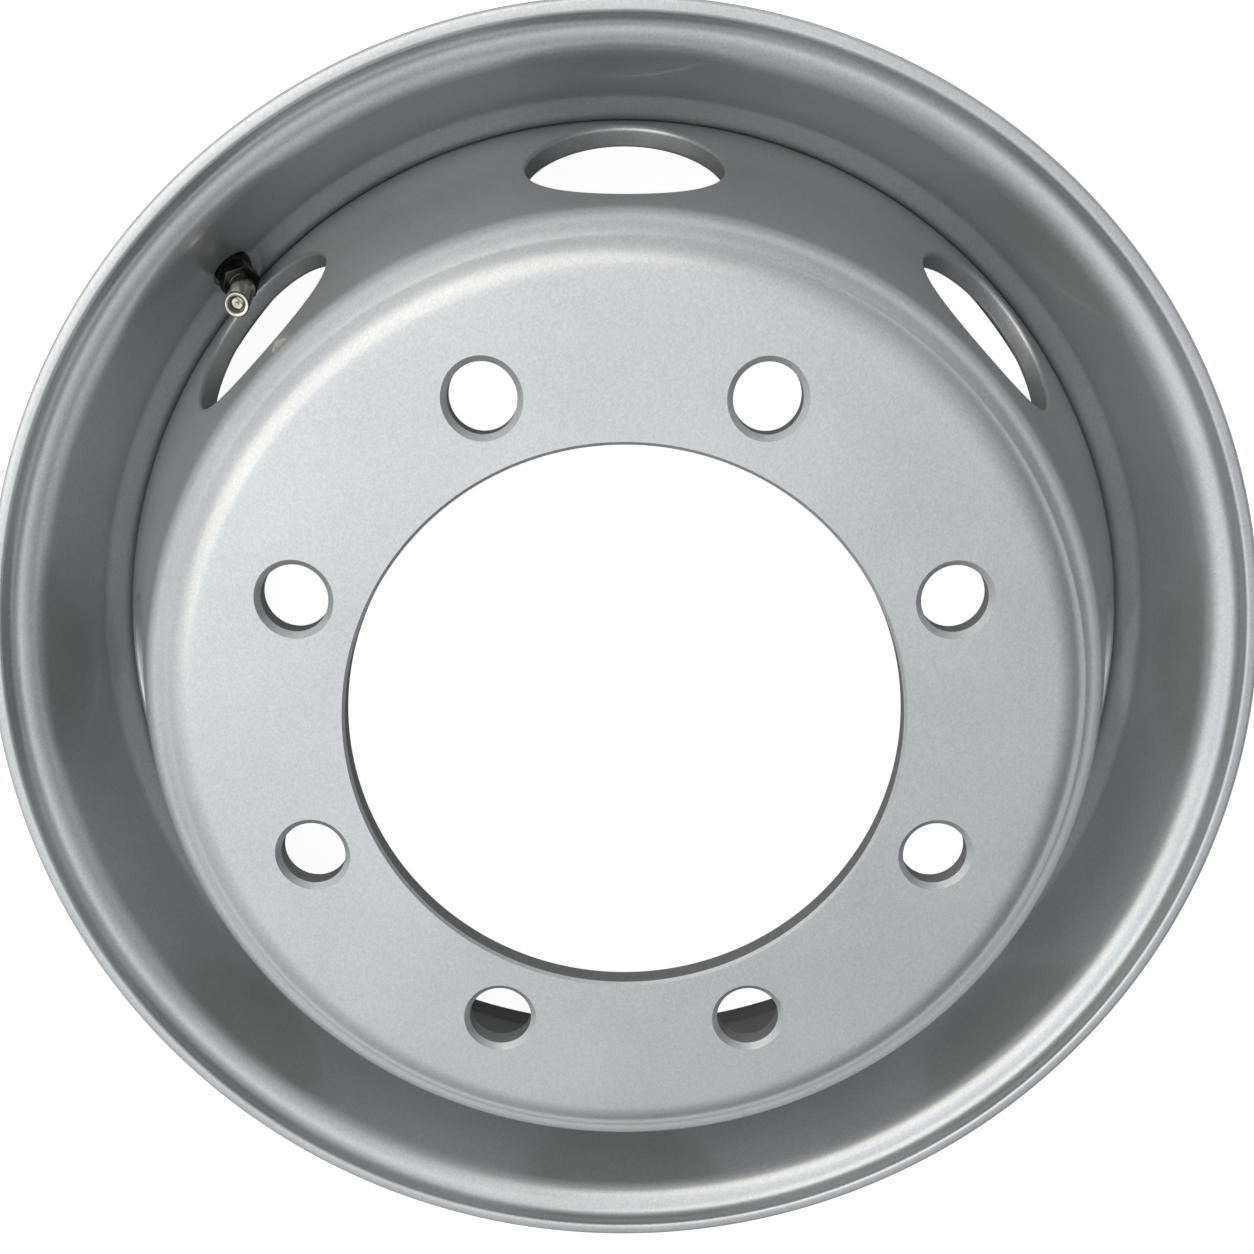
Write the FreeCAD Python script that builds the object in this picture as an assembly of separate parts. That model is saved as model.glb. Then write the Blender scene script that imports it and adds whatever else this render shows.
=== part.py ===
import FreeCAD, Part
import math
import os

V = FreeCAD.Vector

# Steel truck disc wheel, 19.5 x 6.75 drop centre rim with 15 degree bead seats.
# Lengths in mm. The wheel lies on its inboard flange: axis on Z, outer face up.
# A profile point is (radius, depth); depth runs down from the outer face of the
# nut flat, and FLAT_Z is the height of that face above the floor.

# rim, roll formed from one strip
RIM_WIDTH = 171.45
BEAD_R = 247.65
FLANGE_RISE = 12.7
SHEET = 5.6
SEAT_ANGLE = 15.0
FLANGE_BEND = 8.5
HEEL_BEND = 9.0
OUT_WALL_DEPTH = 50.7
WALL_LEAN = 3.0
LIP_LENGTH = 10.5
LIP_ROUND = 1.6
OUT_LEDGE_DEPTH = 101.0
WELL_DROP = 27.65
OUT_SLOPE = 9.0
WELL_FLOOR = 53.0
IN_SLOPE = 33.0
OUT_LEDGE_BEND = 10.0
OUT_WELL_BEND = 9.0
IN_WELL_BEND = 14.0
IN_LEDGE_BEND = 16.0

# disc, pressed and flow formed
SKIRT_R = BEAD_R - WELL_DROP
BORE_R = 110.5
BORE_CHAMFER = 1.2
FLAT_T = 12.0
FLAT_R = 170.5
SHOULDER_R1 = 16.0
SHOULDER_TURN = 49.0
CREASE_TURN = 27.0
CREASE_ROUND = 2.5
SHOULDER_R2 = 20.0
KNEE_BELOW_LEDGE = 8.3
KNEE_DEPTH = OUT_LEDGE_DEPTH + KNEE_BELOW_LEDGE
KNEE_BEND = 30.0
SKIRT_T = 7.0
SKIRT_LENGTH = 38.7
SKIRT_END = KNEE_DEPTH + SKIRT_LENGTH
BACK_FLAT_REACH = 3.5
BACK_FLAT_BEND = 10.0
BACK_CREST_IN = 9.5
BACK_CREST_DOWN = 4.0
BACK_CREST_BEND = 14.0
BACK_KNEE_DOWN = 4.0

# bolt circle and vents
BOLTS = 8
BOLT_PCD = 275.0
BOLT_HOLE_D = 26.0
BOLT_CHAMFER = 2.3
BOLT_BACK_CHAMFER = 0.8
BOLT_PHASE = 22.5
VENTS = 8
VENT_BAND_TOP = 11.45
VENT_BAND_LOW = 3.85
VENT_EDGE = 1.2
VENT_PUNCH = 40.0

# weld between skirt end and well
WELD_LEG = 6.5

# valve, clamped in a pressed seat on the outboard ledge corner and bent towards the outer face
VALVE_AZIMUTH = 134.0
VALVE_TILT = 32.0
VALVE_BEND = 24.0
BEND_R = 10.0
SEAT_D = 18.6
SEAT_BACK_D = 20.6
SEAT_RIM = 1.8
VALVE_HOLE_D = 15.8
GROMMET_CLEARANCE = 0.1
GROMMET_FLANGE_T = 2.8
GROMMET_COLLAR_H = 7.0
GROMMET_COLLAR_D = 15.0
STEM_D = 9.7
STEM_FOOT_D = 17.0
STEM_FOOT_T = 2.6
STEM_FOOT_EASE = 1.0
STEM_RISE = 16.6
STEM_REACH = 30.0
STEM_EDGE = 0.5
STEM_BORE_D = 5.4
STEM_MOUTH_D = 6.6
STEM_MOUTH_DEPTH = 3.2
STEM_THROAT_D = 3.0
WASHER_D = 13.6
WASHER_T = 1.4
WASHER_CLEARANCE = 0.1
NUT_AF = 14.0
NUT_H = 7.0
NUT_RUNOUT = 0.1
CORE_CLEARANCE = 0.1
CORE_LENGTH = 16.0
CORE_DROP = 2.4
PIN_D = 1.5
PIN_CLEARANCE = 0.06
PIN_LENGTH = 9.0
PIN_PROUD = 1.6


def tan(degrees):
    return math.tan(math.radians(degrees))


def turn(radius, degrees):
    """Across and down steps on a bend of this radius after turning by degrees."""
    a = math.radians(degrees)
    return radius * math.sin(a), radius * (1 - math.cos(a))


def rim_path():
    """Middle line of the rolled strip, outboard lip to inboard lip."""
    half = SHEET / 2
    lip = BEAD_R + FLANGE_RISE - half
    wall = OUT_WALL_DEPTH - half
    heel_depth = wall + WALL_LEAN / 2
    heel = BEAD_R - half / math.cos(math.radians(SEAT_ANGLE)) + (OUT_WALL_DEPTH - heel_depth) * tan(SEAT_ANGLE)
    middle = OUT_WALL_DEPTH + RIM_WIDTH / 2
    well_from = OUT_LEDGE_DEPTH + OUT_SLOPE
    well_to = well_from + WELL_FLOOR
    in_depth = well_to + IN_SLOPE
    flange = [
        (lip, wall - WALL_LEAN / 2 - LIP_LENGTH, 0),
        (lip, wall - WALL_LEAN / 2, FLANGE_BEND),
        (heel, heel_depth, HEEL_BEND),
    ]
    out_ledge = heel - (OUT_LEDGE_DEPTH - heel_depth) * tan(SEAT_ANGLE)
    in_ledge = heel - (2 * middle - heel_depth - in_depth) * tan(SEAT_ANGLE)
    well = SKIRT_R + half
    drop = [
        (out_ledge, OUT_LEDGE_DEPTH, OUT_LEDGE_BEND),
        (well, well_from, OUT_WELL_BEND),
        (well, well_to, IN_WELL_BEND),
        (in_ledge, in_depth, IN_LEDGE_BEND),
    ]
    back = [(r, 2 * middle - w, bend) for r, w, bend in reversed(flange)]
    return flange + drop + back


RIM_PATH = rim_path()
FLAT_Z = RIM_PATH[-1][1]


def at(r, depth):
    return V(r, 0, FLAT_Z - depth)


def rounded(path):
    """Lines and bends through corner points, each corner with its own bend radius."""
    pts = [at(r, w) for r, w, bend in path]
    edges = []
    last = pts[0]
    for i in range(1, len(path) - 1):
        a = (pts[i - 1] - pts[i]).normalize()
        b = (pts[i + 1] - pts[i]).normalize()
        half = a.getAngle(b) / 2
        bend = path[i][2]
        p = pts[i] + a * (bend / math.tan(half))
        q = pts[i] + b * (bend / math.tan(half))
        m = pts[i] + (a + b).normalize() * (bend / math.sin(half) - bend)
        edges.append(Part.makeLine(last, p))
        edges.append(Part.Arc(p, m, q).toShape())
        last = q
    edges.append(Part.makeLine(last, pts[-1]))
    return edges


def shifted(path, by):
    """The same path moved sideways by a distance, bends kept concentric."""
    pts = [V(r, w, 0) for r, w, bend in path]
    out = []
    for i, (r, w, bend) in enumerate(path):
        before = (pts[i] - pts[i - 1]).normalize() if i else (pts[1] - pts[0]).normalize()
        after = (pts[i + 1] - pts[i]).normalize() if i + 1 < len(pts) else before
        n1 = V(before.y, -before.x, 0)
        n2 = V(after.y, -after.x, 0)
        n = (n1 + n2).normalize()
        p = pts[i] + n * (by / n.dot(n1))
        side = before.x * after.y - before.y * after.x
        out.append((p.x, p.y, bend + by if side > 0 else bend - by))
    return out


def revolved(edges):
    face = Part.Face(Part.Wire(Part.__sortEdges__(edges)))
    return face.revolve(V(0, 0, 0), V(0, 0, 1), 360)


def rings(shape, r, depth, reach=0.6):
    """Circular edges of a turned shape that pass through a profile point."""
    found = []
    for e in shape.Edges:
        c = e.Curve
        if isinstance(c, Part.Circle) and abs(c.Radius - r) < reach:
            if abs(c.Center.z - (FLAT_Z - depth)) < reach and abs(c.Axis.z) > 0.99:
                found.append(e)
    return found


def around(count, phase=0.0):
    return [phase + 360.0 * i / count for i in range(count)]


def spun(shape, degrees):
    s = shape.copy()
    s.rotate(V(0, 0, 0), V(0, 0, 1), degrees)
    return s


# The valve is drawn standing on the origin, foot down, then carried to its seat.
def to_valve(shape, seat=0.0):
    """Carry a shape from the drawing axis to the valve's foot axis, seat being its height there."""
    r, w, bend = RIM_PATH[3]
    s = shape.copy()
    s.translate(V(0, 0, seat))
    s.rotate(V(0, 0, 0), V(0, 1, 0), -VALVE_TILT)
    s.translate(at(r, w))
    return spun(s, VALVE_AZIMUTH)


def to_mouth(shape, height=0.0):
    """Carry a shape from the drawing axis past the bend, height counted from the bend's end."""
    s = shape.copy()
    s.translate(V(-BEND_R, 0, height))
    s.rotate(V(0, 0, 0), V(0, 1, 0), VALVE_BEND)
    s.translate(V(BEND_R, 0, SHEET / 2 + STEM_RISE))
    return s


def rim():
    outer = shifted(RIM_PATH, SHEET / 2)
    inner = shifted(RIM_PATH, -SHEET / 2)
    edges = rounded(outer) + rounded(inner)
    for i in (0, -1):
        edges.append(Part.makeLine(at(*outer[i][:2]), at(*inner[i][:2])))
    strip = revolved(edges)
    lips = []
    for i in (0, -1):
        for side in (outer, inner):
            lips += rings(strip, side[i][0], side[i][1])
    strip = strip.makeFillet(LIP_ROUND, lips)
    plate = Part.makeCylinder(SEAT_BACK_D / 2 + SEAT_RIM, SHEET)
    inside = Part.makeCylinder(SEAT_D / 2, 12.0)
    tyre_side = Part.makeCylinder(SEAT_BACK_D / 2, 12.0)
    hole = Part.makeCylinder(VALVE_HOLE_D / 2, 40.0)
    strip = strip.fuse(to_valve(plate, -SHEET / 2))
    strip = strip.cut(to_valve(inside, SHEET / 2))
    strip = strip.cut(to_valve(tyre_side, -SHEET / 2 - 12.0))
    return strip.cut(to_valve(hole, -20.0)).removeSplitter()


def crease_point():
    across, down = turn(SHOULDER_R1, SHOULDER_TURN)
    return FLAT_R + across, down


def crest(slope):
    """Point on the second shoulder round where it has turned to a slope."""
    r, w = crease_point()
    start = turn(SHOULDER_R2, CREASE_TURN)
    across, down = turn(SHOULDER_R2, slope)
    return r + across - start[0], w + down - start[1]


def wall_angle():
    """Lean of the wall that runs from the second shoulder round to the knee."""
    lean = CREASE_TURN
    for step in range(30):
        r, w = crest(90 - lean)
        lean = math.degrees(math.atan2(SKIRT_R - r, KNEE_DEPTH - w))
    return lean


WALL_ANGLE = wall_angle()
WALL_TOP = crest(90 - WALL_ANGLE)
WALL_LENGTH = math.hypot(SKIRT_R - WALL_TOP[0], KNEE_DEPTH - WALL_TOP[1])
VENT_D = WALL_LENGTH - KNEE_BEND * tan(WALL_ANGLE / 2) - VENT_BAND_TOP - VENT_BAND_LOW


def disc_outer():
    """Outer face in profile: flat, two shoulder rounds with a crease between, wall, skirt."""
    half = turn(SHOULDER_R1, SHOULDER_TURN / 2)
    middle = crest((CREASE_TURN + 90 - WALL_ANGLE) / 2)
    edges = [
        Part.makeLine(at(BORE_R, 0), at(FLAT_R, 0)),
        Part.Arc(at(FLAT_R, 0), at(FLAT_R + half[0], half[1]), at(*crease_point())).toShape(),
        Part.Arc(at(*crease_point()), at(*middle), at(*WALL_TOP)).toShape(),
    ]
    wall = [(*WALL_TOP, 0), (SKIRT_R, KNEE_DEPTH, KNEE_BEND), (SKIRT_R, SKIRT_END, 0)]
    return edges + rounded(wall)


def disc():
    edges = disc_outer()
    skirt_in = SKIRT_R - SKIRT_T
    inside = [
        (BORE_R, FLAT_T, 0),
        (FLAT_R + BACK_FLAT_REACH, FLAT_T, BACK_FLAT_BEND),
        (WALL_TOP[0] - BACK_CREST_IN, WALL_TOP[1] + BACK_CREST_DOWN, BACK_CREST_BEND),
        (skirt_in, KNEE_DEPTH + BACK_KNEE_DOWN, KNEE_BEND),
        (skirt_in, SKIRT_END, 0),
    ]
    edges += rounded(inside)
    edges.append(Part.makeLine(at(BORE_R, 0), at(BORE_R, FLAT_T)))
    edges.append(Part.makeLine(at(SKIRT_R, SKIRT_END), at(skirt_in, SKIRT_END)))
    body = revolved(edges)
    body = body.makeFillet(CREASE_ROUND, rings(body, *crease_point()))
    body = body.makeChamfer(BORE_CHAMFER, rings(body, BORE_R, 0) + rings(body, BORE_R, FLAT_T))
    holes = []
    for degrees in around(BOLTS, BOLT_PHASE):
        holes.append(spun(bolt_hole(), degrees))
    for degrees in around(VENTS):
        holes.append(spun(vent(), degrees))
    body = body.cut(Part.makeCompound(holes)).removeSplitter()
    return body.makeFillet(VENT_EDGE, vent_rims(body, 1) + vent_rims(body, -1))


def bolt_hole():
    """One bolt hole with its wide outer and narrow inner chamfer, on the X axis."""
    r = BOLT_HOLE_D / 2
    profile = [
        at(0, -1),
        at(r + BOLT_CHAMFER + 1, -1),
        at(r, BOLT_CHAMFER),
        at(r, FLAT_T - BOLT_BACK_CHAMFER),
        at(r + BOLT_BACK_CHAMFER + 1, FLAT_T + 1),
        at(0, FLAT_T + 1),
        at(0, -1),
    ]
    tool = Part.Face(Part.makePolygon(profile)).revolve(V(0, 0, 0), V(0, 0, 1), 360)
    tool.translate(V(BOLT_PCD / 2, 0, 0))
    return tool


def vent():
    """One round vent punched square through the wall, between its two bands, on the X axis."""
    punch = Part.makeCylinder(VENT_D / 2, 2 * VENT_PUNCH, V(0, 0, -VENT_PUNCH))
    punch.rotate(V(0, 0, 0), V(0, 1, 0), 90 - WALL_ANGLE)
    share = (VENT_BAND_TOP + VENT_D / 2) / WALL_LENGTH
    r = WALL_TOP[0] + (SKIRT_R - WALL_TOP[0]) * share
    depth = WALL_TOP[1] + (KNEE_DEPTH - WALL_TOP[1]) * share
    punch.translate(at(r, depth))
    return punch


def vent_rims(body, side):
    """Edges where the vents break the outer (side 1) or inner (side -1) skin of the wall."""
    found = []
    for f in body.Faces:
        if isinstance(f.Surface, Part.Cylinder) and abs(f.Surface.Radius - VENT_D / 2) < 0.01:
            middle = f.CenterOfMass
            for e in f.Edges:
                c = e.CenterOfMass
                out = math.hypot(c.x, c.y) - math.hypot(middle.x, middle.y)
                if out * side > 1.0 and not isinstance(e.Curve, Part.Line):
                    found.append(e)
    return found


def weld():
    """Fillet bead laid round the skirt end, a little hollow in the face."""
    corner = at(SKIRT_R, SKIRT_END)
    low = at(SKIRT_R, SKIRT_END + WELD_LEG)
    toe = at(SKIRT_R - WELD_LEG, SKIRT_END)
    face = at(SKIRT_R - WELD_LEG * 0.46, SKIRT_END + WELD_LEG * 0.46)
    edges = [
        Part.makeLine(corner, low),
        Part.Arc(low, face, toe).toShape(),
        Part.makeLine(toe, corner),
    ]
    return revolved(edges)


def turned(profile):
    """A turned piece from (radius, height) corners on the drawing axis."""
    pts = [V(r, 0, h) for r, h in profile]
    return Part.Face(Part.makePolygon(pts + pts[:1])).revolve(V(0, 0, 0), V(0, 0, 1), 360)


def bent_rod(radius, foot, mouth):
    """Round rod along the valve's middle line, from a foot height to a reach past the bend."""
    bend = SHEET / 2 + STEM_RISE
    quarter = turn(BEND_R, VALVE_BEND / 2)
    whole = turn(BEND_R, VALVE_BEND)
    a = V(0, 0, bend)
    b = V(whole[1], 0, bend + whole[0])
    along = V(math.sin(math.radians(VALVE_BEND)), 0, math.cos(math.radians(VALVE_BEND)))
    line = Part.Wire([
        Part.makeLine(V(0, 0, foot), a),
        Part.Arc(a, V(quarter[1], 0, bend + quarter[0]), b).toShape(),
        Part.makeLine(b, b + along * mouth),
    ])
    circle = Part.Wire(Part.makeCircle(radius, V(0, 0, foot)))
    return line.makePipeShell([circle], True, False)


def valve_stem():
    """Foot on the tyre side, shank with a bend, chamfered mouth over a stepped bore."""
    r = STEM_D / 2
    throat = STEM_THROAT_D / 2
    seat = -SHEET / 2 - GROMMET_FLANGE_T
    foot = turned([
        (0, seat - STEM_FOOT_T),
        (STEM_FOOT_D / 2 - STEM_FOOT_EASE, seat - STEM_FOOT_T),
        (STEM_FOOT_D / 2, seat - STEM_FOOT_T + STEM_FOOT_EASE),
        (STEM_FOOT_D / 2, seat),
        (0, seat),
    ])
    under = STEM_REACH - CORE_LENGTH - CORE_DROP
    bore = turned([
        (0, under - 1.2),
        (throat, under - 1.2),
        (STEM_BORE_D / 2, under),
        (STEM_BORE_D / 2, STEM_REACH - STEM_MOUTH_DEPTH - 0.6),
        (STEM_MOUTH_D / 2, STEM_REACH - STEM_MOUTH_DEPTH),
        (STEM_MOUTH_D / 2, STEM_REACH - 0.4),
        (STEM_MOUTH_D / 2 + 0.5, STEM_REACH + 0.1),
        (0, STEM_REACH + 0.1),
    ])
    edge = turned([
        (r - STEM_EDGE, STEM_REACH),
        (r + 1, STEM_REACH - STEM_EDGE - 1),
        (r + 1, STEM_REACH),
    ])
    body = foot.fuse(bent_rod(r, seat - STEM_FOOT_T / 2, STEM_REACH))
    body = body.cut(bent_rod(throat, seat - STEM_FOOT_T - 1, under))
    body = body.cut(to_mouth(bore)).cut(to_mouth(edge))
    return to_valve(body.removeSplitter())


def valve_grommet():
    """Rubber seal: flange under the seat, neck through the hole, tapered collar above it."""
    neck = VALVE_HOLE_D / 2 - GROMMET_CLEARANCE
    collar = GROMMET_COLLAR_D / 2
    ring = turned([
        (STEM_D / 2, -SHEET / 2 - GROMMET_FLANGE_T),
        (STEM_FOOT_D / 2 + 0.6, -SHEET / 2 - GROMMET_FLANGE_T),
        (SEAT_BACK_D / 2 - 0.5, -SHEET / 2 - GROMMET_FLANGE_T / 2),
        (SEAT_BACK_D / 2 - 0.8, -SHEET / 2),
        (neck, -SHEET / 2),
        (neck, SHEET / 2),
        (collar, SHEET / 2 + 0.6),
        (collar - 0.2, SHEET / 2 + GROMMET_COLLAR_H - 1.6),
        (collar - 1.1, SHEET / 2 + GROMMET_COLLAR_H),
        (STEM_D / 2, SHEET / 2 + GROMMET_COLLAR_H),
    ])
    return to_valve(ring)


def valve_washer():
    hole = STEM_D / 2 + WASHER_CLEARANCE
    ring = turned([
        (hole, 0),
        (WASHER_D / 2, 0),
        (WASHER_D / 2, WASHER_T - 0.4),
        (WASHER_D / 2 - 0.4, WASHER_T),
        (hole, WASHER_T),
    ])
    return to_valve(ring, SHEET / 2 + GROMMET_COLLAR_H)


def valve_nut():
    """Hexagon nut, both faces turned down to a washer face at 30 degrees."""
    across = NUT_AF / 2 / math.cos(math.radians(30))
    corners = [V(across * math.cos(math.radians(d)), across * math.sin(math.radians(d)), 0) for d in around(6)]
    block = Part.Face(Part.makePolygon(corners + corners[:1])).extrude(V(0, 0, NUT_H))
    hole = STEM_D / 2 + NUT_RUNOUT
    drop = (across - NUT_AF / 2 + 0.2) * tan(30)
    ease = turned([
        (hole, 0),
        (NUT_AF / 2 - 0.2, 0),
        (across, drop),
        (across, NUT_H - drop),
        (NUT_AF / 2 - 0.2, NUT_H),
        (hole, NUT_H),
    ])
    return to_valve(block.common(ease), SHEET / 2 + GROMMET_COLLAR_H + WASHER_T)


def valve_core():
    """Core screwed into the bore: flatted head and a blind hole for the pin."""
    r = STEM_BORE_D / 2 - CORE_CLEARANCE
    hole = PIN_D / 2 + PIN_CLEARANCE
    body = turned([
        (0, -CORE_LENGTH),
        (STEM_THROAT_D / 2 + 0.4, -CORE_LENGTH),
        (r, -CORE_LENGTH + 3.0),
        (r, -2.6),
        (r - 0.5, -2.0),
        (r - 0.5, 0),
        (hole, 0),
        (hole, -PIN_LENGTH - 1.0),
        (0, -PIN_LENGTH - 1.0),
    ])
    for side in (-1, 1):
        flat = Part.makeBox(10, 2.0, 2.0, V(-5, side * 2.1 - 1.0, -1.6))
        body = body.cut(flat)
    return to_valve(to_mouth(body, STEM_REACH - CORE_DROP))


def valve_core_pin():
    """Sprung pin that opens the valve when pressed."""
    pin = turned([
        (0, PIN_PROUD - PIN_LENGTH),
        (PIN_D / 2, PIN_PROUD - PIN_LENGTH),
        (PIN_D / 2, PIN_PROUD - 0.25),
        (PIN_D / 2 - 0.25, PIN_PROUD),
        (0, PIN_PROUD),
    ])
    return to_valve(to_mouth(pin, STEM_REACH - CORE_DROP))


os.makedirs("parts", exist_ok=True)
PIECES = {
    "rim": rim,
    "disc": disc,
    "weld_bead": weld,
    "valve_stem": valve_stem,
    "valve_grommet": valve_grommet,
    "valve_washer": valve_washer,
    "valve_nut": valve_nut,
    "valve_core": valve_core,
    "valve_core_pin": valve_core_pin,
}
for name, make in PIECES.items():
    make().exportStep("parts/" + name + ".step")
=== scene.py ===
import math

import bmesh
import bpy
import numpy as np
from mathutils import Matrix, Vector


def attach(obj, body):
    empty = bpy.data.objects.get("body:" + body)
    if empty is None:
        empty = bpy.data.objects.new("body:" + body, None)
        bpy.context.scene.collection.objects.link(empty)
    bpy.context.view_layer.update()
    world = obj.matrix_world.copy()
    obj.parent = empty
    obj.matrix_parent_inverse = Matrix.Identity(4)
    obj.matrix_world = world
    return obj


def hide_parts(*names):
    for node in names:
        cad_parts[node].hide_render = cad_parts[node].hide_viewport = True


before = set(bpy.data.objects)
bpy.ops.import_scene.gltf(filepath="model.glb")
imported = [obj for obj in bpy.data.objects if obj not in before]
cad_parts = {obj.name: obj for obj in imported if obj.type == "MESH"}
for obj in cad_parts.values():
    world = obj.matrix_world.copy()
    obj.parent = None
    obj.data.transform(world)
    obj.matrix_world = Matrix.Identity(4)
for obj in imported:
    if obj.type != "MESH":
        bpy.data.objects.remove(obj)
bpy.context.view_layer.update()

# Rim: one strip of 5.6 mm steel, rolled to flanges, tapered bead seats and a drop centre
# and butt welded to a hoop. A seat for the valve is pressed into the outboard ledge corner.
# Profile points are (radius, depth in mm below the nut flat, bend radius).
FLAT_HEIGHT = 236.95
SHEET = 5.6
STRIP_LINE = [
    (257.55, 35.9, 0), (257.55, 46.4, 8.5), (245.1, 49.4, 9.0), (231.273, 101.0, 10.0),
    (222.8, 110.0, 9.0), (222.8, 163.0, 14.0), (237.744, 196.0, 16.0),
    (245.1, 223.45, 9.0), (257.55, 226.45, 8.5), (257.55, 236.95, 0),
]
HOOP_STEPS = 448


def bent(path, step_deg=7.0):
    """Points along a path whose corners are rounded to their bend radii."""
    points = [path[0][:2]]
    for before, corner, after in zip(path, path[1:], path[2:]):
        c = np.array(corner[:2])
        a = np.array(before[:2]) - c
        b = np.array(after[:2]) - c
        a = a / np.linalg.norm(a)
        b = b / np.linalg.norm(b)
        half = math.acos(np.clip(a.dot(b), -1, 1)) / 2
        centre = c + (a + b) / np.linalg.norm(a + b) * corner[2] / math.sin(half)
        first = c + a * corner[2] / math.tan(half) - centre
        last = c + b * corner[2] / math.tan(half) - centre
        sweep = math.pi - 2 * half
        turn = math.copysign(sweep, first[0] * last[1] - first[1] * last[0])
        count = max(2, math.ceil(math.degrees(sweep) / step_deg))
        for i in range(count + 1):
            t = turn * i / count
            x = first[0] * math.cos(t) - first[1] * math.sin(t)
            y = first[0] * math.sin(t) + first[1] * math.cos(t)
            points.append((centre[0] + x, centre[1] + y))
    return points + [path[-1][:2]]


def beside(path, by):
    """The path moved sideways, its bends kept concentric."""
    points = [np.array(p[:2]) for p in path]
    runs = [(b - a) / np.linalg.norm(b - a) for a, b in zip(points, points[1:])]
    moved = []
    for i, p in enumerate(points):
        d = runs[max(i - 1, 0)]
        e = runs[min(i, len(runs) - 1)]
        n = np.array((d[1] + e[1], -d[0] - e[0]))
        n = n / np.linalg.norm(n)
        q = p + n * by / n.dot((d[1], -d[0]))
        side = 1 if d[0] * e[1] - d[1] * e[0] > 0 else -1
        moved.append((q[0], q[1], path[i][2] + side * by))
    return moved


def new_piece(name, mesh):
    piece = bpy.data.objects.new(name, mesh)
    bpy.context.scene.collection.objects.link(piece)
    return piece


def baked(piece):
    """Turns a piece's modifiers into its plain mesh."""
    seen = piece.evaluated_get(bpy.context.evaluated_depsgraph_get())
    mesh = bpy.data.meshes.new_from_object(seen)
    piece.modifiers.clear()
    piece.data = mesh
    return piece


def finished(piece, sharp_deg):
    """Merges doubles, points faces outwards, and shades smooth except at sharp edges."""
    bm = bmesh.new()
    bm.from_mesh(piece.data)
    bmesh.ops.remove_doubles(bm, verts=bm.verts, dist=2e-6)
    bmesh.ops.dissolve_degenerate(bm, edges=bm.edges, dist=1e-7)
    bmesh.ops.recalc_face_normals(bm, faces=bm.faces)
    for face in bm.faces:
        face.smooth = True
    for edge in bm.edges:
        edge.smooth = edge.calc_face_angle(0) < math.radians(sharp_deg)
    bm.to_mesh(piece.data)
    bm.free()
    return piece


def turned(name, outline, steps):
    """A closed (radius, height in mm) outline spun once round the Z axis."""
    mesh = bpy.data.meshes.new(name)
    count = len(outline)
    mesh.from_pydata(
        [(r / 1000, 0, z / 1000) for r, z in outline],
        [(i, (i + 1) % count) for i in range(count)], [])
    piece = new_piece(name, mesh)
    spin = piece.modifiers.new("spin", "SCREW")
    spin.steps = spin.render_steps = steps
    spin.use_merge_vertices = True
    spin.merge_threshold = 1e-6
    return baked(piece)


skin = [(r, FLAT_HEIGHT - w) for r, w in bent(beside(STRIP_LINE, SHEET / 2))]
back = [(r, FLAT_HEIGHT - w) for r, w in bent(beside(STRIP_LINE, -SHEET / 2))]
LIP_ROUND = 1.6


def eased(a, b, c, radius):
    """Quarter bend at corner b between a and c."""
    b = np.array(b)
    u = (np.array(a) - b) / np.linalg.norm(np.array(a) - b)
    v = (np.array(c) - b) / np.linalg.norm(np.array(c) - b)
    o = b + (u + v) * radius
    return [tuple(o - v * radius * math.cos(t) - u * radius * math.sin(t))
            for t in (0, math.pi / 8, math.pi / 4, math.pi * 3 / 8, math.pi / 2)]


hoop = (eased(back[0], skin[0], skin[1], LIP_ROUND) + skin[1:-1]
        + eased(skin[-2], skin[-1], back[-1], LIP_ROUND)
        + eased(skin[-1], back[-1], back[-2], LIP_ROUND) + back[-2:0:-1]
        + eased(back[1], back[0], skin[0], LIP_ROUND))
rim = turned("rim_strip", hoop, HOOP_STEPS)
finished(rim, 35)

# pressed valve seat: a flat round plate across the ledge corner, with its hole
VALVE_AZIMUTH = 134.0
VALVE_TILT = 32.0
SEAT_D = 18.6
SEAT_BACK_D = 20.6
SEAT_RIM = 1.8
VALVE_HOLE_D = 15.8
SEAT_PUNCH_REACH = 14
HOLE_PUNCH_REACH = 20
PUNCH_SIDES = 64
ledge_r, ledge_w = STRIP_LINE[3][:2]
valve_axis = (Matrix.Rotation(math.radians(VALVE_AZIMUTH), 4, "Z")
              @ Matrix.Translation((ledge_r / 1000, 0, (FLAT_HEIGHT - ledge_w) / 1000))
              @ Matrix.Rotation(math.radians(-VALVE_TILT), 4, "Y"))


def rod(name, radius, low, high):
    """A plain cylinder on the valve axis, used as a punch."""
    bm = bmesh.new()
    bmesh.ops.create_cone(bm, cap_ends=True, segments=PUNCH_SIDES, radius1=radius / 1000,
                          radius2=radius / 1000, depth=(high - low) / 1000)
    bmesh.ops.translate(bm, verts=bm.verts, vec=(0, 0, (high + low) / 2000))
    bm.transform(valve_axis)
    mesh = bpy.data.meshes.new(name)
    bm.to_mesh(mesh)
    bm.free()
    return new_piece(name, mesh)


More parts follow.
